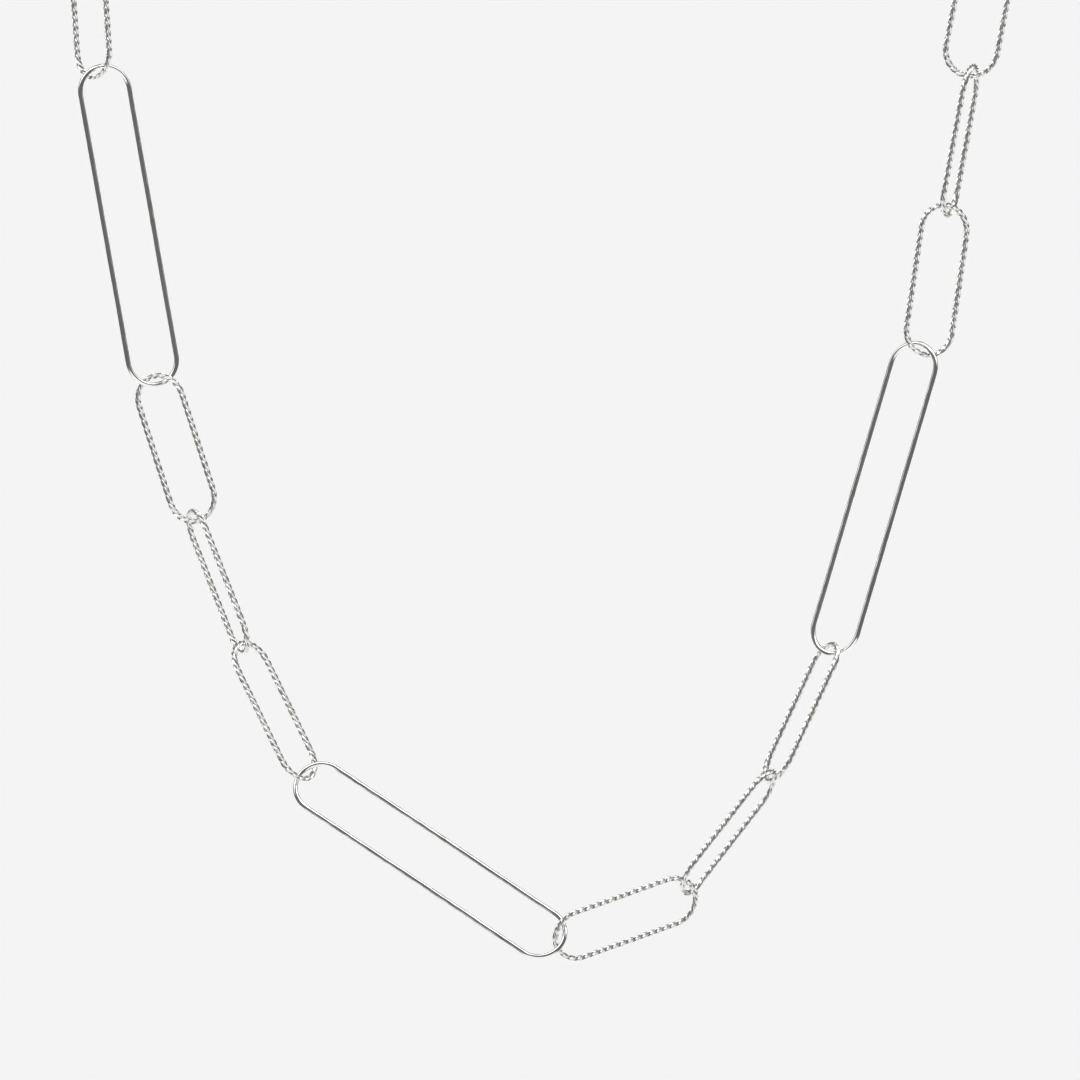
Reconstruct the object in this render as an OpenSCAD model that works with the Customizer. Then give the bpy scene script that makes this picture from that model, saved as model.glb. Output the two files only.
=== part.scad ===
// Paperclip chain necklace: long plain links and short twisted links, hung as it is worn
// X runs to the wearer's left as seen from the front, -Y is the front, and the origin is the middle of the neck

/* [Links] */
// Outside length of a long plain link
long_len = 40; // [32:0.1:48]
// Outside length of a short twisted link
short_len = 19.3; // [15:0.1:24]
// Width of a link between the middles of its two wires
link_w = 6.3; // [5.4:0.1:7.5]
// Clear play where one link hangs in the next
link_play = 0.35; // [0.25:0.05:0.6]

/* [Wire] */
// Diameter of the round wire of the long links
round_wire = 0.62; // [0.5:0.02:0.8]
// Side of the square wire of the short links
square_wire = 0.6; // [0.5:0.02:0.7]
// Length of square wire that makes one whole turn
twist_pitch = 3.8; // [3:0.1:5]

/* [Clasp] */
// Diameter of the clasp ring between the middles of its tube
ring_d = 5.7; // [5:0.1:8]
// Diameter of the tube that the clasp ring is bent from
ring_tube = 1.3; // [1:0.1:1.6]
// Diameter of the clasp's eye between the middles of its wire
eye_d = 2.5; // [2.2:0.1:4]
// Diameter of the wire of the clasp's eye
eye_wire = 0.8; // [0.6:0.05:1]

/* [Wear] */
// How far the front hangs out from upright, lowest link forward
front_lean = 15; // [0:1:25]
// How steeply the back rises to the nape
back_rise = 25; // [10:1:40]

/* [Hidden] */
$fn = 32;

// Columns of the front table, in degrees
// heading: direction of the link as seen from the front, measured down from the wearer's left
// lean: tilt of the link's end towards the viewer
// roll: turn of the link about its own length
// pull: turn of the pull on the next link from the mean of the two headings
HEADING = 0;
LEAN = 1;
ROLL = 2;
PULL = 3;

// The links that show from the front, from the wearer's right side down and up to the left side
FRONT = [
    [86, 2, 51, -18],       // twisted_link_3
    [80, 2, -20, 4],        // long_link_2
    [72, 0, 30, 28],        // twisted_link_4
    [68.5, 8, 72, 0],       // twisted_link_5
    [64, 8, 125, -6],       // twisted_link_6
    [33.5, 16, 162, 4],     // long_link_3
    [-19.5, -13, 210, -24], // twisted_link_7
    [-52, -12, 250, 0],     // twisted_link_8
    [-65, -8, 292, -8],     // twisted_link_9
    [-73.5, -4, 329, 14],   // long_link_4
    [-81.5, -3, 387, 0],    // twisted_link_10
    [-79.5, 0, 435, -18],   // twisted_link_11
    [-79, -2, 540, 0]       // twisted_link_12
];

// Rolls of the links round the back, from the wearer's left side to the right side
BACK_ROLL = [65, 130, 70, 130, 80, 150, 90, 140];

// Names in the order of the loop, starting at the clasp
LONG_COUNT = 5;
SHORT_PER_LONG = 3;
GROUP = 1 + SHORT_PER_LONG;
LINK_COUNT = LONG_COUNT * GROUP;

function is_long(i) = i % GROUP == 0;
function link_name(i) = is_long(i)
    ? str("long_link_", floor(i / GROUP) + 1)
    : str("twisted_link_", i - floor(i / GROUP));

// Place in the loop of the first link that shows from the front, of the last one and of the clasp
HIDDEN_RIGHT_COUNT = 3;
FRONT_FIRST = HIDDEN_RIGHT_COUNT;
FRONT_LAST = FRONT_FIRST + len(FRONT) - 1;
CLASP = LINK_COUNT;
LOOP_COUNT = LINK_COUNT + 1;

// Radius of the bends, half thickness of each wire, and lengths between the middles of the end bends
bend_r = link_w / 2;
round_half = round_wire / 2;
square_half = square_wire / sqrt(2);
long_mid = long_len - round_wire;
short_mid = short_len - 2 * square_half;
ring_half = ring_tube / 2;
eye_half = eye_wire / 2;
eye_offset = (ring_d + eye_d) / 2;
clasp_mid = ring_d / 2 + eye_offset + eye_d / 2;

function wire_half(i, at_end) = i == CLASP
    ? (at_end ? eye_half : ring_half)
    : is_long(i) ? round_half : square_half;
function mid_len(i) = i == CLASP ? clasp_mid : is_long(i) ? long_mid : short_mid;
function next(i) = (i + 1) % LOOP_COUNT;

// How far the wire of piece i reaches past the wire of the next piece, middle to middle
function lap(i) = wire_half(i, true) + wire_half(next(i), false) + link_play;
function prev(i) = (i + LOOP_COUNT - 1) % LOOP_COUNT;
// Distance between the two points where piece i meets its neighbours
function pitch(i) = mid_len(i) - (lap(prev(i)) + lap(i)) / 2;

function unit(v) = v / norm(v);

// Direction across a link with axis a, turned by roll from the direction square to the view
function across(a, view, roll) = let (n = unit(cross(view, a))) n * cos(roll) + cross(a, n) * sin(roll);

// The plane that the front hangs in: its downward direction and the direction to the viewer
front_down = [0, -sin(front_lean), -cos(front_lean)];
front_view = [0, -cos(front_lean), sin(front_lean)];

function front_axis(k) = let (h = FRONT[k][HEADING], l = FRONT[k][LEAN])
    cos(l) * (cos(h) * [1, 0, 0] + sin(h) * front_down) + sin(l) * front_view;
FRONT_AXES = [for (k = [0:len(FRONT) - 1]) front_axis(k)];
FRONT_ACROSS = [for (k = [0:len(FRONT) - 1]) across(FRONT_AXES[k], front_view, FRONT[k][ROLL])];

// Where a pull along u bears on the round bend of a link, as a direction from the bend's middle
function bearing(u, a, w) = unit((u * a) * a + (u * w) * w);

// Step from the middle of front link k to the middle of the next one
function front_step(k) = let (
        mean = unit(FRONT_AXES[k] + FRONT_AXES[k + 1]),
        turn = FRONT[k][PULL],
        u = cos(turn) * mean + sin(turn) * unit(cross(mean, front_view)),
        straight = (mid_len(FRONT_FIRST + k) / 2 - bend_r) * FRONT_AXES[k]
            + (mid_len(FRONT_FIRST + k + 1) / 2 - bend_r) * FRONT_AXES[k + 1],
        bends = bend_r * (bearing(u, FRONT_AXES[k], FRONT_ACROSS[k])
            + bearing(u, FRONT_AXES[k + 1], FRONT_ACROSS[k + 1]))
    ) straight + bends - lap(FRONT_FIRST + k) * u;

FRONT_RAW = [for (k = 0, c = [0, 0, 0]; k < len(FRONT);
    c = k < len(FRONT) - 1 ? c + front_step(k) : c, k = k + 1) c];

// Points where the front meets the back, first at the wearer's right and then at the left
right_raw = FRONT_RAW[0] - (mid_len(FRONT_FIRST) - lap(FRONT_FIRST - 1)) / 2 * FRONT_AXES[0];
left_raw = FRONT_RAW[len(FRONT) - 1]
    + (mid_len(FRONT_LAST) - lap(FRONT_LAST)) / 2 * FRONT_AXES[len(FRONT) - 1];
neck_middle = (right_raw + left_raw) / 2;
right_point = right_raw - neck_middle;
left_point = left_raw - neck_middle;
FRONT_MIDS = [for (c = FRONT_RAW) c - neck_middle];

// The back: each piece is a chord of one circle from the left point round the nape to the right point
BACK = [for (j = [1:LOOP_COUNT - len(FRONT)]) (FRONT_LAST + j) % LOOP_COUNT];
back_span = norm(left_point - right_point);
function sum_to(v, n) = n == 0 ? 0 : v[n - 1] + sum_to(v, n - 1);
function chord_angles(r) = [for (i = BACK) 2 * asin(min(1, pitch(i) / 2 / r))];
function span_at(r) = let (t = sum_to(chord_angles(r), len(BACK))) t >= 360 ? 0 : 2 * r * sin(t / 2);
// Radius at which the chords span the two points, found by halving the range
function back_radius(low, high, tries) = tries == 0
    ? (low + high) / 2
    : let (r = (low + high) / 2)
        span_at(r) < back_span ? back_radius(r, high, tries - 1) : back_radius(low, r, tries - 1);
HALVING_COUNT = 40;
FLATTEST_COUNT = 20; // long links in the largest radius that is tried
back_r = back_radius(long_mid / 2, FLATTEST_COUNT * long_mid, HALVING_COUNT);
BACK_ANGLES = chord_angles(back_r);
back_total = sum_to(BACK_ANGLES, len(BACK));

// Axes of the circle: towards the wearer's left, and away behind the neck
back_left = unit(left_point - right_point);
back_up_raw = [0, cos(back_rise), sin(back_rise)];
back_away = unit(back_up_raw - (back_up_raw * back_left) * back_left);
back_normal = cross(back_left, back_away);
back_middle = (left_point + right_point) / 2 - back_r * cos(back_total / 2) * back_away;
function back_point(turn) = let (t = back_total / 2 - turn)
    back_middle + back_r * (sin(t) * back_left + cos(t) * back_away);
BACK_POINTS = [for (j = [0:len(BACK)]) back_point(sum_to(BACK_ANGLES, j))];
BACK_AXES = [for (j = [0:len(BACK) - 1]) unit(BACK_POINTS[j + 1] - BACK_POINTS[j])];
BACK_MIDS = [for (j = [0:len(BACK) - 1])
    BACK_POINTS[j] + (mid_len(BACK[j]) - lap(prev(BACK[j]))) / 2 * BACK_AXES[j]];
BACK_ACROSS = [for (j = [0:len(BACK) - 1]) across(BACK_AXES[j], back_normal, BACK_ROLL[j])];

// Frame of piece i as its middle, its axis and its direction across
function back_place(i) = (i - FRONT_LAST - 1 + LOOP_COUNT) % LOOP_COUNT;
function in_front(i) = i >= FRONT_FIRST && i <= FRONT_LAST;
function middle_of(i) = in_front(i) ? FRONT_MIDS[i - FRONT_FIRST] : BACK_MIDS[back_place(i)];
function axis_of(i) = in_front(i) ? FRONT_AXES[i - FRONT_FIRST] : BACK_AXES[back_place(i)];
function across_of(i) = in_front(i) ? FRONT_ACROSS[i - FRONT_FIRST] : BACK_ACROSS[back_place(i)];

// Puts a piece drawn along X and across Y into its place in the loop
module placed(i) {
    a = axis_of(i);
    w = across_of(i);
    n = cross(a, w);
    c = middle_of(i);
    multmatrix([
        [a[0], w[0], n[0], c[0]],
        [a[1], w[1], n[1], c[1]],
        [a[2], w[2], n[2], c[2]],
        [0, 0, 0, 1]
    ]) children();
}

// Half a ring of round wire, open towards -X
module half_ring(r, half) {
    rotate([0, 0, -90]) rotate_extrude(angle = 180) translate([r, 0]) circle(r = half);
}

// A long link: round wire bent into two half rings with straight sides
module long_link(i) {
    straight = long_mid - link_w;
    color("silver") placed(i) union() {
        for (s = [0, 180]) rotate([0, 0, s]) {
            translate([straight / 2, 0, 0]) half_ring(bend_r, round_half);
            translate([-straight / 2, bend_r, 0]) rotate([0, 90, 0]) cylinder(h = straight, r = round_half);
        }
    }
}

// The middle line of a short link, by length along it from the start of its far bend
short_straight = short_mid - link_w;
bend_len = PI * bend_r;
short_loop = 2 * (short_straight + bend_len);
half_turns = round(2 * short_loop / twist_pitch);
HALF_TURN_RING_COUNT = 5;
ring_count = half_turns * HALF_TURN_RING_COUNT;

// Angle of travel round the link and middle of the bend or straight that length s is on
function half_of(s) = s < short_loop / 2 ? s : s - short_loop / 2;
function loop_angle(s) = (s < short_loop / 2 ? 0 : 180) + min(180, 180 * half_of(s) / bend_len);
function loop_shift(s) = let (past = max(0, half_of(s) - bend_len), side = s < short_loop / 2 ? 1 : -1)
    side * (short_straight / 2 - past);

// Corner j of the square section at length s, turned left-handed along the wire
function twisted_point(s, j) = let (
        t = loop_angle(s),
        turn = 180 * half_turns * s / short_loop + 90 * j,
        out = [sin(t), -cos(t), 0]
    ) [loop_shift(s), 0, 0] + (bend_r + square_half * cos(turn)) * out + [0, 0, square_half * sin(turn)];

TWISTED_POINTS = [for (k = [0:ring_count - 1]) for (j = [0:3])
    twisted_point(k * short_loop / ring_count, j)];
// After a whole loop the section comes back turned by half turns, two corners each
last_shift = 2 * half_turns % 4;
function corner(k, j) = k < ring_count ? 4 * k + j % 4 : (j + last_shift) % 4;
TWISTED_FACES = [for (k = [0:ring_count - 1]) for (j = [0:3])
    each [[corner(k, j), corner(k, j + 1), corner(k + 1, j)],
        [corner(k, j + 1), corner(k + 1, j + 1), corner(k + 1, j)]]];

// A short link: square wire twisted along its length and bent like a long one
module twisted_link(i) {
    color("gainsboro") placed(i) polyhedron(points = TWISTED_POINTS, faces = TWISTED_FACES);
}

// The clasp: a plain closed ring with a small eye soldered to it
module clasp() {
    color("silver") placed(CLASP) union() {
        translate([ring_d / 2 - clasp_mid / 2, 0, 0]) {
            rotate_extrude() translate([ring_d / 2, 0]) circle(r = ring_half);
            translate([eye_offset, 0, 0]) rotate_extrude() translate([eye_d / 2, 0]) circle(r = eye_half);
        }
    }
}

for (i = [0:LINK_COUNT - 1])
    union() {
        if (is_long(i)) long_link(i);
        else twisted_link(i);
    }
clasp();
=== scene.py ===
# %% [markdown]
# A paperclip chain is made of long, narrow wire loops. This one has two kinds: a long loop of plain round
# wire, and a shorter loop of square wire that was twisted before it was bent. Three short loops hang between
# each pair of long ones, and a plain ring closes the chain at the nape.
#
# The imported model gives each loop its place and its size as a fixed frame. This script dresses that frame:
# it works out smooth wire where the model has simple solids, gives the wire its polish, and sets up the
# studio. Everything is in metres, so a helper for millimetres keeps the numbers readable.

# %% Load the frame
import math

import bpy
import numpy as np
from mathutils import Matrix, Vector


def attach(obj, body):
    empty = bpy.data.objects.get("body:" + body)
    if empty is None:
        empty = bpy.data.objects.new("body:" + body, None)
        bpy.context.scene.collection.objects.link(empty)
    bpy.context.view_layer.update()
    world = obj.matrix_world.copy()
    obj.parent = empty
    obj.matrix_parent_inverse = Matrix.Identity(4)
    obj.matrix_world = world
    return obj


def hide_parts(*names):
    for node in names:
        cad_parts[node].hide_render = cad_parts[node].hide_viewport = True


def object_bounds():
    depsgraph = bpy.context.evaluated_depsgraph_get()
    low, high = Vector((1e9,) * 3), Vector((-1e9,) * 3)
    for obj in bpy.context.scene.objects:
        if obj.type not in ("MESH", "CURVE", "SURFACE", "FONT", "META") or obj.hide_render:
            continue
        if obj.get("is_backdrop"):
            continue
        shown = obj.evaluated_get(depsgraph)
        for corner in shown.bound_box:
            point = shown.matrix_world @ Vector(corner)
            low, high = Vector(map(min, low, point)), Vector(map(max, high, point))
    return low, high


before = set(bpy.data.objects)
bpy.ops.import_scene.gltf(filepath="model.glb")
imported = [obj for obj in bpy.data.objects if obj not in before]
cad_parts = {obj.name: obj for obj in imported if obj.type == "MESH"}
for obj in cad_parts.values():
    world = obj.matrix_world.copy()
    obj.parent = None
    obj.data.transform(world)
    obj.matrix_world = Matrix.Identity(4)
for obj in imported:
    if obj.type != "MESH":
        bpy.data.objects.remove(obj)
MM = 0.001
CAD_BOX = [list(corner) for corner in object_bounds()]
print("nodes:", len(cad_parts), "box in mm:", np.round(np.array(CAD_BOX) / MM, 1).tolist())

# %% [markdown]
# The photograph looks at the front of the chain from straight ahead and a little from above, and from far
# away compared with the size of a link: links at different depths have the same width. A long lens does the
# same. It follows from three lengths: the width of the view at the chain, the distance, and the sensor.

# %% Camera
LOOK_DOWN = math.radians(15)
TO_CAMERA = np.array([0, -math.cos(LOOK_DOWN), math.sin(LOOK_DOWN)])
PICTURE_DOWN = np.array([0, -math.sin(LOOK_DOWN), -math.cos(LOOK_DOWN)])
VIEW_WIDTH = 131.22 * MM
DISTANCE = 4.0
VIEW_DOWN, VIEW_RIGHT, VIEW_NEAR = 74.13 * MM, 0.05 * MM, 12 * MM
FARTHEST = 40.0
MIDDLE = VIEW_DOWN * PICTURE_DOWN + np.array([VIEW_RIGHT, 0, 0]) + VIEW_NEAR * TO_CAMERA

camera = bpy.data.objects.new("camera", bpy.data.cameras.new("camera"))
bpy.context.scene.collection.objects.link(camera)
bpy.context.scene.camera = camera
camera.location = MIDDLE + DISTANCE * TO_CAMERA
camera.rotation_euler = (math.pi / 2 - LOOK_DOWN, 0, 0)
camera.data.lens = camera.data.sensor_width * DISTANCE / VIEW_WIDTH
camera.data.clip_end = FARTHEST
print("lens in mm:", round(camera.data.lens), "camera at:", np.round(camera.location, 3).tolist())

# %% [markdown]
# Shader nodes are easier to read as sums. This small class wraps one output of a node, so that Python's own
# signs add the Math nodes: `1 - mask` or `0.1 + 0.2 * cloud`. A vector goes through Vector Math instead,
# because a Math node would keep one number of it. Any other node comes from one method, `node`.

# %% A socket that can be added and multiplied
class Tap:
    """One output of a shader node, whose sums, differences and products are new nodes."""

    def __init__(self, tree, socket=None):
        self.tree, self.socket = tree, socket

    def node(self, kind, settings=None, sockets=None, out=0):
        """Adds a node: its settings first, then a value or a Tap for each socket, by name or number."""
        made = self.tree.nodes.new("ShaderNode" + kind)
        for name, value in (settings or {}).items():
            setattr(made, name, value)
        for key, value in (sockets or {}).items():
            if isinstance(value, Tap):
                self.tree.links.new(value.socket, made.inputs[key])
            else:
                made.inputs[key].default_value = value
        return Tap(self.tree, made.outputs[out] if made.outputs else None)

    def maths(self, operation, first, second):
        """Vector Math where either side carries a vector, and Math where both are numbers."""
        kinds = [side.socket.type for side in (first, second) if isinstance(side, Tap)]
        if "VECTOR" not in kinds:
            return self.node("Math", {"operation": operation}, {0: first, 1: second})
        first, second = ((side,) * 3 if isinstance(side, float) else side for side in (first, second))
        return self.node("VectorMath", {"operation": operation}, {0: first, 1: second})

    def __add__(self, other):
        return self.maths("ADD", self, other)

    def __mul__(self, other):
        return self.maths("MULTIPLY", self, other)

    def __sub__(self, other):
        return self.maths("SUBTRACT", self, other)

    def __rsub__(self, other):
        return self.maths("SUBTRACT", other, self)

    def __abs__(self):
        return self.node("Math", {"operation": "ABSOLUTE"}, {0: self})

    __radd__, __rmul__ = __add__, __mul__

    def between(self, low, high):
        """0 below low, 1 above high, and a straight rise between them."""
        return self.node("MapRange", {}, {0: self, 1: low, 2: high})

    def blend(self, first, second):
        """The first colour where this is 0 and the second where it is 1."""
        return self.node("Mix", {"data_type": "RGBA"}, {0: self, 6: first, 7: second}, out=2)


def new_material(name):
    """An empty material and the Tap that its nodes start from."""
    material = bpy.data.materials.new(name)
    material.use_nodes = True
    material.node_tree.nodes.clear()
    return material, Tap(material.node_tree)


# %% [markdown]
# Polished silver has almost no colour of its own: it shows what stands round it. In the photograph upright
# wire is grey from edge to edge, while level wire is white on its upper side with one thin dark line. So the
# studio is a pale tent with a wide grey band round it and a soft lamp on top. The band isn't level. It is
# high in front of the chain and behind it, and low at its two sides, like a saddle. That keeps upright wire
# dark from the front, and lets the slanted flats of the twisted wire catch the lamp or the pale tent below.
#
# A world shader can make the tent from a direction's three numbers alone. Their sum is written once: Taps
# and numpy arrays both understand Python's signs, so the same function makes the nodes and tells how bright
# the tent is in any direction, which the floor needs to know below. The camera itself sees an even pale
# grey instead of the tent, like the paper behind the chain.

# %% Light tent
PAPER = 0.905
LAMP, PALE, GREY = 2.25, 1.0, 0.136
SADDLE = 0.726
BAND_LOW, BAND_HIGH, LAMP_LOW, SIDE_DROP = -0.60, 0.48, 0.615, 0.344
BAND_SOFT, LAMP_SOFT = 0.06, 0.10


def rise(value, middle, soft):
    """0 well below the middle, 1 well above it, and a straight rise over soft on either side of it."""
    if isinstance(value, Tap):
        return value.between(middle - soft, middle + soft)
    return np.clip((value - middle + soft) / (2 * soft), 0, 1)


def tent_brightness(x, y, z):
    """The tent's brightness in a direction: pale, less the grey band, plus the lamp.

    over is the height in the saddle: z times the saddle angle's cosine, less the size of y times its sine.
    The band and the lamp have their lower and upper sides at fixed heights, and at the two sides of the
    chain the upper ones are lower by the drop times the size of x.
    """
    over = z * math.cos(SADDLE) - abs(y) * math.sin(SADDLE)
    dropped = over + SIDE_DROP * abs(x)
    band = rise(over, BAND_LOW, BAND_SOFT) * (1 - rise(dropped, BAND_HIGH, BAND_SOFT))
    return PALE - (PALE - GREY) * band + (LAMP - PALE) * rise(dropped, LAMP_LOW, LAMP_SOFT)


world = bpy.data.worlds.new("light_tent")
bpy.context.scene.world = world
world.use_nodes = True
world.node_tree.nodes.clear()
start = Tap(world.node_tree)
direction = start.node("TexCoord", out=0)
x, y, z = (start.node("SeparateXYZ", {}, {0: direction}, out=k) for k in range(3))
lit = start.node("Background", {}, {"Color": (1, 1, 1, 1), "Strength": tent_brightness(x, y, z)})
seen = start.node("Background", {}, {"Color": (PAPER, PAPER, PAPER, 1)})
by_camera = start.node("LightPath", out=0)
start.node("OutputWorld", {}, {0: start.node("MixShader", {}, {0: by_camera, 1: lit, 2: seen})})
bpy.context.scene.view_settings.view_transform = "Standard"
print("towards the camera the tent's brightness is", round(float(tent_brightness(*TO_CAMERA)), 3))

# %% [markdown]
# The chain keeps the shape that it has when it is worn, so it hangs clear of the floor. The floor is one
# large pale sheet below it. Metal would show the floor as a dull grey, so the floor is hidden from glossy
# rays and the wire shows the tent's own white below.
#
# The sheet has to come out as bright as the paper in the photograph. A matt sheet is as bright as its colour
# times the mean of the tent over it, in which each direction counts by its height. Points spread evenly over
# a disc and lifted to the half sphere above it count that way by themselves.

# %% Floor
FLOOR_DROP, FLOOR_HALF = 0.13, 15.0
DISC_TURNS, DISC_RINGS = 360, 200
FLOOR_LEVEL = CAD_BOX[0][2] - FLOOR_DROP
corners = np.array([[-1, -1], [1, -1], [1, 1], [-1, 1]]) * FLOOR_HALF
floor_mesh = bpy.data.meshes.new("floor")
floor_mesh.from_pydata(np.column_stack([corners, np.full(4, FLOOR_LEVEL)]), [], [(0, 1, 2, 3)])
floor = bpy.data.objects.new("floor", floor_mesh)
bpy.context.scene.collection.objects.link(floor)
paper, start = new_material("pale_paper")
disc_turn = (np.arange(DISC_TURNS) + 0.5) * 2 * math.pi / DISC_TURNS
disc_radius = np.sqrt((np.arange(DISC_RINGS) + 0.5) / DISC_RINGS)
turn, radius = np.meshgrid(disc_turn, disc_radius)
on_floor = tent_brightness(radius * np.cos(turn), radius * np.sin(turn), np.sqrt(1 - radius ** 2)).mean()
sheet = PAPER / on_floor
shade = start.node("BsdfDiffuse", {}, {"Color": (sheet, sheet, sheet, 1)})
start.node("OutputMaterial", {}, {0: shade})
floor_mesh.materials.append(paper)
floor.visible_glossy = False
floor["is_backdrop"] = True
print("floor level in mm:", round(FLOOR_LEVEL / MM, 1), "tent's mean over it:", round(on_floor, 3))

# %% [markdown]
# Each loop lies at its own slant, and the frame says where, because the place of a node is in its mesh. A
# flat loop has three natural directions: along it, across it, and square to its flat. The spread of its
# surface is largest along and smallest square to the flat, so the eigenvectors of that spread are the three
# directions. Weighing each triangle by its area makes the result independent of how finely it was cut up.

# %% Find how a node lies
def surface_points(node):
    """The vertices of a node and, for each of its triangles, the numbers of its three corners."""
    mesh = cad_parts[node].data
    points = np.empty(3 * len(mesh.vertices))
    mesh.vertices.foreach_get("co", points)
    order = np.empty(len(mesh.loops), dtype=int)
    mesh.loops.foreach_get("vertex_index", order)
    return points.reshape(-1, 3), order.reshape(-1, 3)


def how_it_lies(node):
    """A node's middle and its directions along, across and square to its flat.

    The middle is the sum of area times centroid over the area. The spread is the sum of area times (the
    corners' outer products plus nine times the centroid's), which is exactly twelve times a flat triangle's
    own spread. The twelve doesn't matter here, because it changes no direction.
    """
    points, order = surface_points(node)
    tri = points[order]
    area = np.linalg.norm(np.cross(tri[:, 1] - tri[:, 0], tri[:, 2] - tri[:, 0]), axis=1) / 2
    centroid = tri.mean(axis=1)
    middle = (area[:, None] * centroid).sum(axis=0) / area.sum()
    tri, centroid = tri - middle, centroid - middle
    spread = np.einsum("t,tci,tcj->ij", area, tri, tri)
    spread += 9 * np.einsum("t,ti,tj->ij", area, centroid, centroid)
    _, directions = np.linalg.eigh(spread)
    along, across = directions[:, 2], directions[:, 1]
    reach = (points - middle) @ along
    if reach.max() < -reach.min():
        along = -along
    return middle, np.array([along, across, np.cross(along, across)])


def to_local(node, middle, axes):
    """The node's vertices measured from its middle along its own three directions."""
    return (surface_points(node)[0] - middle) @ axes.T


middle, axes = how_it_lies("long_link_3")
print("long_link_3 size in mm:", np.round(np.ptp(to_local("long_link_3", middle, axes), axis=0) / MM, 3))

# %% [markdown]
# A loop is a stadium: two straight runs joined by two half circles. A point on it is found from the length
# of wire s before it. The wire is laid counterclockwise, and s counts from where the first bend starts. Along
# a bend the outward direction turns with s, and along a run it stays put, so one angle and one shift describe
# both. A length past the whole loop starts again at the first bend, so a wire may begin anywhere.

# %% The way round a loop
BEND = 3.15 * MM
HALF_ROUND = math.pi * BEND


def loop_length(run):
    """Two straight runs and two half circles."""
    return 2 * run + 2 * HALF_ROUND


def joint_at(run):
    """The length at which the wire's ends meet: the middle of the first straight run."""
    return HALF_ROUND + run / 2


def outward_angle(s, run):
    """The outward direction's angle, from 0 at the first bend's start: (s less the straight runs) / BEND."""
    s = s % loop_length(run)
    first = np.clip(s, 0, HALF_ROUND)
    second = np.clip(s - HALF_ROUND - run, 0, HALF_ROUND)
    return (first + second) / BEND


def centre_shift(s, run):
    """How far along the loop the bend's centre lies: half a run each way, and between them on the runs."""
    s = s % loop_length(run)
    return run / 2 - np.clip(s - HALF_ROUND, 0, run) + np.clip(s - 2 * HALF_ROUND - run, 0, run)


def wire_surface(lie, run, s, angle, radius, lift=0.0):
    """Points of a bent wire: for each length s and each angle round the section, radius away from the way.

    A point is the bend's centre, plus (BEND + lift + radius cos angle) along the outward direction, plus
    radius sin angle square to the loop's flat. s runs down the grid and the angle runs across it.
    """
    middle, (along, across, square) = lie
    turn = outward_angle(s, run)
    out = np.sin(turn)[:, None] * along - np.cos(turn)[:, None] * across
    centre = middle + centre_shift(s, run)[:, None] * along
    away = BEND + lift + radius * np.cos(angle)
    return centre[:, None] + away[..., None] * out[:, None] + (radius * np.sin(angle))[..., None] * square


LONG_RUN, SHORT_RUN = 33.08 * MM, 12.1515 * MM
wire_lengths = np.array([loop_length(LONG_RUN), loop_length(SHORT_RUN)]) / MM
print("wire in a long and a short loop, in mm:", wire_lengths.round(2).tolist())

# %% [markdown]
# A grid that joins up with itself in both directions makes a closed skin, like a rubber ring. Two maps go
# with it. The UV map unrolls the wire into a strip. The attribute `wire_place` holds the length along the
# wire and the place in its section in millimetres, so that marks can run along the wire without a seam
# between its sides. It belongs to the corners of the faces and not to the points, because the point where the
# strip's ends meet has two lengths, one for the face on either side. The marks can't match there, so the ends
# are put where the real wire is soldered. A twisted wire has turned by then, so its last row joins the first
# one some points further on. Without that shift each loop would be pinched shut at its joint.

# %% Skin for a closed grid of points
def skin(name, grids, marks, shift=0):
    """A smooth mesh object from grids that close both ways, and its marks.

    Each grid comes with its place in the wire, which has one row more: the first row again, a whole length
    on. Face (i, j) joins points (i, j), (i + 1, j), (i + 1, j + 1) and (i, j + 1), counted round both ways.
    The shift is added to j where i + 1 is the first row again.
    """
    rows, sides = grids[0][0].shape[:2]
    i, j = np.meshgrid(np.arange(rows), np.arange(sides), indexing="ij")
    steps = np.array([[0, 0], [1, 0], [1, 1], [0, 1]])
    down, round_it = i[..., None] + steps[:, 0], j[..., None] + steps[:, 1]
    faces = ((down % rows) * sides + (round_it + shift * (down == rows)) % sides).reshape(-1, 4)
    faces = np.concatenate([faces + k * rows * sides for k in range(len(grids))])
    strip = np.tile(np.stack([down / rows, round_it / sides], axis=-1).ravel(), len(grids))
    points = np.concatenate([grid.reshape(-1, 3) for grid, _ in grids])
    place = np.concatenate([place[down, round_it % sides].ravel() for _, place in grids])
    mesh = bpy.data.meshes.new(name)
    mesh.from_pydata(points, [], faces)
    mesh.uv_layers.new(name="strip").data.foreach_set("uv", strip)
    mesh.attributes.new("wire_place", "FLOAT_VECTOR", "CORNER").data.foreach_set("vector", place)
    for mark, values in marks.items():
        values = np.broadcast_to(values, (rows * len(grids), sides)).ravel()
        mesh.attributes.new(mark, "FLOAT", "POINT").data.foreach_set("value", values)
    mesh.shade_smooth()
    made = bpy.data.objects.new(name, mesh)
    bpy.context.scene.collection.objects.link(made)
    return made


def place_in_wire(s, length, angle, radius):
    """Length along the wire and both distances from its middle, in millimetres, with the first row again."""
    s = np.broadcast_to(s[:, None], angle.shape)
    place = np.stack([s, radius * np.cos(angle), radius * np.sin(angle)], axis=-1)
    return np.concatenate([place, place[:1] + np.array([length, 0, 0])]) / MM


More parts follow.
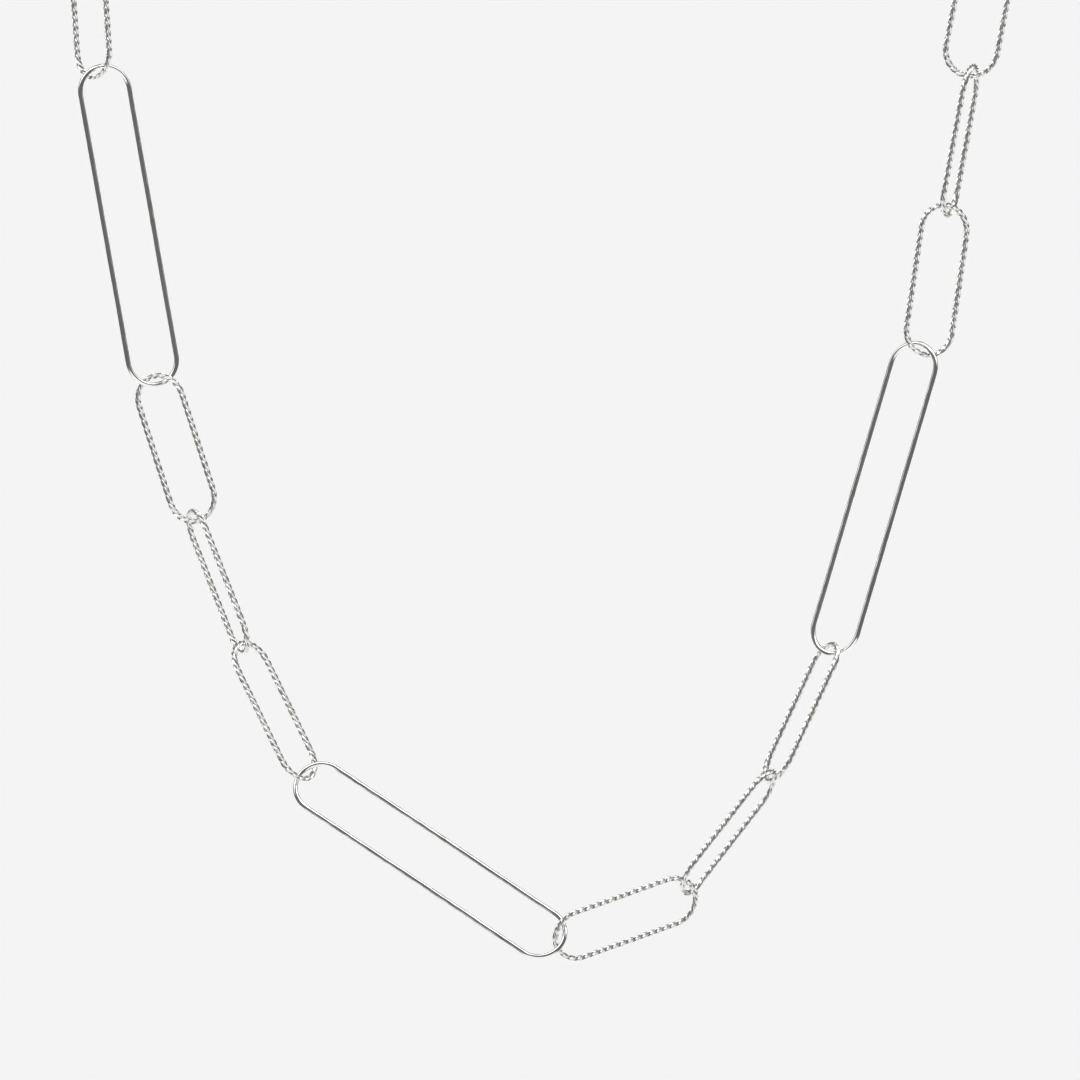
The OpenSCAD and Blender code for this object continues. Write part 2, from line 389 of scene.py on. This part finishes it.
def slow_wave(x, length, seed, count=4):
    """A smooth random wave that closes on itself.

    It is a sum of sines with 1 to count turns in the length, over the root of half their squared sizes. So
    the mean of the wave's square is 1.
    """
    pick = np.random.default_rng(seed)
    turns = np.arange(1, count + 1)
    phase = pick.uniform(0, 2 * math.pi, count)
    size = pick.normal(0, 1, count)
    wave = (size * np.sin(2 * math.pi * np.multiply.outer(x / length, turns) + phase)).sum(axis=-1)
    return wave / np.sqrt((size ** 2).sum() / 2)


# %% [markdown]
# A long loop is drawn round wire, bent over a rod and soldered where its ends meet. Solder leaves a faint
# swelling of a hundredth or two of a millimetre. Bending squeezes the wire a little, so its section is
# slightly lower across the bend. A hand-bent run is never quite straight either, and the eye sees that in
# the reflections long before it sees it in the outline.

# %% Long plain loops
WIRE = 0.31 * MM
SOLDER_HALF = 0.45 * MM
LONG_ROWS, LONG_SIDES = 320, 28
SOLDER_SWELL, BEND_SQUEEZE, HAND_WAVER = 0.05, 0.025, 0.018 * MM


def joint_mark(s, length, at):
    """1 at the soldered joint and falling off over its width as a bell curve, measured round the loop."""
    gap = np.abs((s - at + length / 2) % length - length / 2)
    return np.exp(-(gap / SOLDER_HALF) ** 2)


def plain_loop(name, node, seed):
    """Round wire on the way round a long loop: radius times (1 + swelling - squeeze in the bends)."""
    length = loop_length(LONG_RUN)
    s = joint_at(LONG_RUN) + np.linspace(0, length, LONG_ROWS, endpoint=False)
    round_wire = np.linspace(0, 2 * math.pi, LONG_SIDES, endpoint=False)
    angle = np.broadcast_to(round_wire, (LONG_ROWS, LONG_SIDES))
    solder = joint_mark(s, length, joint_at(LONG_RUN))[:, None]
    in_bend = np.abs(np.sin(outward_angle(s, LONG_RUN)))[:, None] ** 2
    radius = WIRE * (1 + SOLDER_SWELL * solder - BEND_SQUEEZE * in_bend * np.cos(angle) ** 2)
    lift = HAND_WAVER * slow_wave(s, length, seed)[:, None]
    grid = wire_surface(how_it_lies(node), LONG_RUN, s, angle, radius, lift)
    return skin(name, [(grid, place_in_wire(s + seed * length, length, angle, radius))], {"solder": solder})


# %% [markdown]
# A short loop starts as square wire. Twisting it turns its four edges into spirals, and its four flats into
# slanted facets that flash one after another. The frame's own solid has the same twist in straight cuts, so
# the smooth wire has to start at the same turn or the edges wouldn't match. Its corners show the turn: four
# times the angle of a corner, less the twist, is the same number all round, so the mean of those angles on
# a circle gives the start.
#
# A square with worn corners is a superellipse. With a power of 2 it is a circle, with a high power a sharp
# square, and 8 leaves soft corners, like drawn wire that was polished after it was twisted. Twisting also
# stretches the edges, which have the longest way round, and they pull the middle of each flat inwards. The
# hollow is under a tenth of a millimetre, but the eye depends on it: it tilts the flats far enough to mirror
# the pale tent and the grey band in turn, and that is what reads as a row of slanted dashes.

# %% Short twisted loops
HALF_TURNS = 23
SIDE_HALF = 0.288 * MM
CORNER_POWER = 8
HOLLOW = 0.25
ROWS_A_HALF_TURN, SQUARE_SIDES, CROWDING = 14, 40, 0.17
WOBBLE, WOBBLE_WAVES = 0.09, 20
SWELLING, SWELLING_WAVES, SWELLING_SEED = 0.015, 40, 100


def twist(s, run):
    """The section's turn after the length s: the whole twist times s over the loop's length."""
    return math.pi * HALF_TURNS * s / loop_length(run)


def twist_start(node, lie):
    """Where the twist starts on a node: the mean of four times (corner angle - twist), divided by four.

    A vertex's length s along the wire is BEND times its outward angle, plus the top run's part before it. On
    the bottom run it counts backwards from the first bend.
    """
    x, y, z = to_local(node, *lie).T
    inner = np.clip(x, -SHORT_RUN / 2, SHORT_RUN / 2)
    turn = np.arctan2(x - inner, -y) % (2 * math.pi)
    s = BEND * turn + np.where(turn > 0, 1, -1) * (SHORT_RUN / 2 - inner)
    corner = np.arctan2(z, np.hypot(x - inner, y) - BEND)
    clock = np.exp(4j * (corner - twist(s, SHORT_RUN))).mean()
    return np.angle(clock) / 4, abs(clock)


def squarish(angle):
    """Radius of the worn, hollowed square as a share of half its side.

    It is (|cos|^p + |sin|^p)^(-1/p), times 1 less the hollow times the square of the cosine of twice the
    angle, which is 1 in the middle of a flat and 0 at a corner.
    """
    powers = np.abs(np.cos(angle)) ** CORNER_POWER + np.abs(np.sin(angle)) ** CORNER_POWER
    return powers ** (-1 / CORNER_POWER) * (1 - HOLLOW * np.cos(2 * angle) ** 2)


def twisted_loop(name, node, seed):
    """Worn square wire that turns on its way round a short loop.

    The angle of a point is its place round the square, plus the twist and a slow wobble. Its place counts
    from the middle of a flat, an eighth of a turn before the corner that the twist starts at. The radius is
    half the side times the worn square's share, times a slow swelling. Points crowd towards the corners,
    where the square curves most.
    """
    lie = how_it_lies(node)
    length = loop_length(SHORT_RUN)
    s = joint_at(SHORT_RUN) + np.linspace(0, length, ROWS_A_HALF_TURN * HALF_TURNS, endpoint=False)
    even = np.linspace(0, 2 * math.pi, SQUARE_SIDES, endpoint=False)
    section = even + CROWDING * np.sin(4 * even)
    turn = twist(s, SHORT_RUN) + twist_start(node, lie)[0] - math.pi / 4
    turn += WOBBLE * slow_wave(s, length, seed, WOBBLE_WAVES)
    share = squarish(section)
    swelling = 1 + SWELLING * slow_wave(s, length, seed + SWELLING_SEED, SWELLING_WAVES)
    radius = SIDE_HALF * share * swelling[:, None]
    grid = wire_surface(lie, SHORT_RUN, s, section + turn[:, None], radius)
    ridge = (share - share.min()) / np.ptp(share)
    solder = joint_mark(s, length, joint_at(SHORT_RUN))[:, None]
    place = place_in_wire(s + seed * length, length, np.broadcast_to(section, radius.shape), radius)
    return skin(name, [(grid, place)], {"ridge": ridge, "solder": solder}, HALF_TURNS * SQUARE_SIDES // 2)


lie = how_it_lies("twisted_link_5")
start_turn, agreement = twist_start("twisted_link_5", lie)
print("twisted_link_5's twist starts at", round(math.degrees(start_turn), 2), "degrees,", end=" ")
print("and its corners agree to", round(agreement, 4))

# %% [markdown]
# The clasp isn't in the photograph. A plain closed ring stands for it, with a small eye soldered to it that
# the first long loop hangs in. Both are wire rings, so both are a circle carried round a circle. The solder
# is what makes them one piece: the eye's wire swells where it meets the ring, as molten solder creeps up.
# The strip of each starts at the solder. The eye's place in the wire starts far from the ring's, so that the
# two don't carry the same marks.

# %% Clasp
RING_WAY, RING_WIRE = 2.85 * MM, 0.65 * MM
EYE_WAY, EYE_WIRE = 1.25 * MM, 0.40 * MM
SOLDER_CREEP, EYE_SWELL = 0.55 * MM, 0.45
CLASP_ROWS, CLASP_SIDES = 120, 40
EYE_PLACE = 40 * MM


def ring_surface(centre, axes, way, radius, turn, angle):
    """A circle carried round a circle.

    A point is the centre, plus (way + radius cos angle) outwards, plus radius sin angle square to the ring.
    """
    along, across, square = axes
    out = np.cos(turn)[:, None] * along + np.sin(turn)[:, None] * across
    away = way + radius * np.cos(angle)
    return centre + away[..., None] * out[:, None] + (radius * np.sin(angle))[..., None] * square


def ring_clasp(name, node):
    """The ring at the heavy end of the node and the eye at its light end, as one mesh of two closed skins."""
    middle, axes = how_it_lies(node)
    x = to_local(node, middle, axes)[:, 0]
    ring_at = middle + (x.min() + RING_WAY + RING_WIRE) * axes[0]
    eye_at = middle + (x.max() - EYE_WAY - EYE_WIRE) * axes[0]
    turn = np.linspace(-math.pi, math.pi, CLASP_ROWS, endpoint=False)
    round_wire = np.linspace(0, 2 * math.pi, CLASP_SIDES, endpoint=False)
    angle = np.broadcast_to(round_wire, (CLASP_ROWS, CLASP_SIDES))
    ring_radius = np.full(angle.shape, RING_WIRE)
    creep = np.exp(-(((math.pi - np.abs(turn)) * EYE_WAY / SOLDER_CREEP) ** 2))[:, None]
    eye_radius = EYE_WIRE * (1 + EYE_SWELL * creep) * np.ones(angle.shape)
    ring = ring_surface(ring_at, axes, RING_WAY, ring_radius, turn + math.pi, angle)
    eye = ring_surface(eye_at, axes, EYE_WAY, eye_radius, turn, angle)
    ring_place = place_in_wire(turn * RING_WAY, 2 * math.pi * RING_WAY, angle, ring_radius)
    eye_place = place_in_wire(turn * EYE_WAY + EYE_PLACE, 2 * math.pi * EYE_WAY, angle, eye_radius)
    solder = np.concatenate([np.zeros(angle.shape), np.broadcast_to(creep, angle.shape)])
    return skin(name, [(ring, ring_place), (eye, eye_place)], {"solder": solder})


# %% [markdown]
# Polished silver is a metal with a bright, faintly warm colour. What makes it look like wire and not like
# liquid is small: lines along the wire that the drawing plate left, a light haze of handling that makes
# some stretches less sharp than others, and a slightly yellower, duller spot at the solder. The lines come
# from a noise that is pressed together round the wire and stretched along it. They vary the roughness and,
# through Bump, the slope of the surface. A slower noise adds ripples of a few hundredths of a millimetre,
# which hand polishing leaves: they make the edges of the dark reflections waver. Each noise has a stretch:
# how often it changes in a millimetre along the wire, and across it in both directions.

# %% Finish of the plain wire
BRIGHT_SILVER = (0.945, 0.955, 0.930, 1)
HAZY_SILVER = (0.86, 0.86, 0.83, 1)
SOLDER_SILVER = (0.83, 0.80, 0.72, 1)
LINE_STRETCH, RIPPLE_STRETCH, HAZE_STRETCH = (0.12, 9.0, 9.0), (0.45, 1.6, 1.6), (0.35, 1.2, 1.2)
RIPPLE_DEPTH, LINE_SHARE = 90e-6, 0.03


def noise(where, detail):
    """Smooth noise from 0 to 1 at a place that is already scaled; detail adds finer layers to it."""
    return where.node("TexNoise", {}, {"Vector": where, "Scale": 1.0, "Detail": detail})


def finish_metal(start, colour, roughness, height, depth, metallic=1.0):
    """Joins a colour, a roughness and a height to a metal shader; depth is the height's size in metres."""
    bump = start.node("Bump", {}, {"Height": height, "Distance": depth, "Strength": 1.0})
    metal = {"Base Color": colour, "Roughness": roughness, "Metallic": metallic, "Normal": bump}
    start.node("OutputMaterial", {}, {0: start.node("BsdfPrincipled", {}, metal)})


def plain_silver():
    """Drawn round wire, polished: fine lines and slow ripples, a light haze, and a duller solder joint."""
    material, start = new_material("plain_silver")
    place = start.node("Attribute", {"attribute_name": "wire_place"}, out=1)
    solder = start.node("Attribute", {"attribute_name": "solder"}, out=2)
    lines = noise(place * LINE_STRETCH, 3)
    ripples = noise(place * RIPPLE_STRETCH, 1)
    haze = noise(place * HAZE_STRETCH, 4).between(0.42, 0.72)
    colour = solder.blend(haze.blend(BRIGHT_SILVER, HAZY_SILVER), SOLDER_SILVER)
    roughness = 0.06 + 0.09 * haze + 0.07 * lines + 0.10 * solder
    finish_metal(start, colour, roughness, lines * LINE_SHARE + ripples, RIPPLE_DEPTH)
    return material


# %% [markdown]
# Twisted wire is polished on the spiral edges first, because they stand proud and rub on everything. The
# hollows between them stay softer, and their darker grey colour is painted shade, the shade that falls in
# the recesses between the edges. In places they keep the matt white skin that soldering leaves on silver. The
# skin isn't a mirror, so it lowers Metallic a little. The attribute `ridge` says how near a point is to an
# edge, so the finish and the painted shade can follow the shape. The drawing lines follow the twist too,
# because the wire was drawn before it was twisted, and a slow dent here and there breaks the even rhythm.

# %% Finish of the twisted wire
# The darker silver of the twisted wire's hollows is painted shade for the recesses between its edges.
SHADED_HOLLOW_SILVER = (0.84, 0.84, 0.815, 1)
TWIST_LINE_STRETCH, DENT_STRETCH, FROST_STRETCH = (0.5, 8.0, 8.0), (1.3, 2.0, 2.0), (1.9, 1.5, 1.5)
DENT_DEPTH, TWIST_LINE_SHARE, FROST_DULLS = 60e-6, 0.05, 0.2


def twisted_silver():
    """Twisted square wire: bright edges, softer hollows darkened with painted shade, patches of matt skin,
    dents and fine lines.
    """
    material, start = new_material("twisted_silver")
    place = start.node("Attribute", {"attribute_name": "wire_place"}, out=1)
    ridge = start.node("Attribute", {"attribute_name": "ridge"}, out=2).between(0.15, 0.85)
    solder = start.node("Attribute", {"attribute_name": "solder"}, out=2)
    lines = noise(place * TWIST_LINE_STRETCH, 3)
    dents = noise(place * DENT_STRETCH, 2)
    frost = (1 - ridge) * noise(place * FROST_STRETCH, 2).between(0.30, 0.55)
    # Edges take the bright silver and hollows the darker one: painted shade in the recesses.
    worn = ridge.blend(SHADED_HOLLOW_SILVER, BRIGHT_SILVER)
    colour = solder.blend(dents.between(0.55, 0.8).blend(worn, HAZY_SILVER), SOLDER_SILVER)
    roughness = 0.16 - 0.06 * ridge + 0.10 * frost + 0.06 * lines + 0.06 * solder
    height = lines * TWIST_LINE_SHARE + dents
    finish_metal(start, colour, roughness, height, DENT_DEPTH, 1 - FROST_DULLS * frost)
    return material


# %% [markdown]
# The clasp is handled each time the chain is put on, so it has rounder, cloudier wear and no drawing lines.

# %% Finish of the clasp
CLOUDS_PER_MM, SCRATCH_STRETCH, SCRATCH_DEPTH = 0.9, (1.5, 14.0, 3.0), 4e-6


def clasp_silver():
    """Handled plain silver: a cloudy haze all round, soft fine scratches, and solder round the eye's foot."""
    material, start = new_material("clasp_silver")
    place = start.node("Attribute", {"attribute_name": "wire_place"}, out=1)
    solder = start.node("Attribute", {"attribute_name": "solder"}, out=2)
    haze = noise(place * CLOUDS_PER_MM, 4).between(0.38, 0.68)
    scratches = noise(place * SCRATCH_STRETCH, 3)
    colour = solder.blend(haze.blend(BRIGHT_SILVER, HAZY_SILVER), SOLDER_SILVER)
    roughness = 0.09 + 0.12 * haze + 0.08 * scratches + 0.08 * solder
    finish_metal(start, colour, roughness, scratches, SCRATCH_DEPTH)
    return material


# %% [markdown]
# Now every node gets its piece. The name of a node says which of the three shapes stands for it, and the
# number at its end seeds the small unevenness, so that no two loops are the same and each run of the script
# makes the same chain. A piece rides with the frame's one body, takes the place of its node, and names the
# slot that a later repaint would use.

# %% Dress the frame
FINISHES = {
    "plain_silver": plain_silver(),
    "twisted_silver": twisted_silver(),
    "clasp_silver": clasp_silver(),
}


def dress(node):
    """Makes the piece for a node, gives it its finish, and ties both to the frame."""
    if node == "clasp":
        piece, finish = ring_clasp("ring_clasp", node), "clasp_silver"
    else:
        kind, number = node.split("_link_")
        seed = int(number)
        if kind == "long":
            piece, finish = plain_loop(f"plain_loop_{seed}", node, seed), "plain_silver"
        else:
            piece, finish = twisted_loop(f"twisted_loop_{seed}", node, seed), "twisted_silver"
    piece.data.materials.append(FINISHES[finish])
    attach(piece, "root")
    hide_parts(node)
    return piece


pieces = [dress(node) for node in sorted(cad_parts)]
print("pieces:", len(pieces), "triangles:", 2 * sum(len(piece.data.polygons) for piece in pieces))

# %% [markdown]
# Last comes a check that the dressed chain is as large as the frame.

# %% Measure and finish
visual_box = [list(corner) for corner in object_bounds()]
larger = (np.array(visual_box) - np.array(CAD_BOX)) / MM
print("visual box less the frame's, in mm:", np.round(larger, 3).tolist())
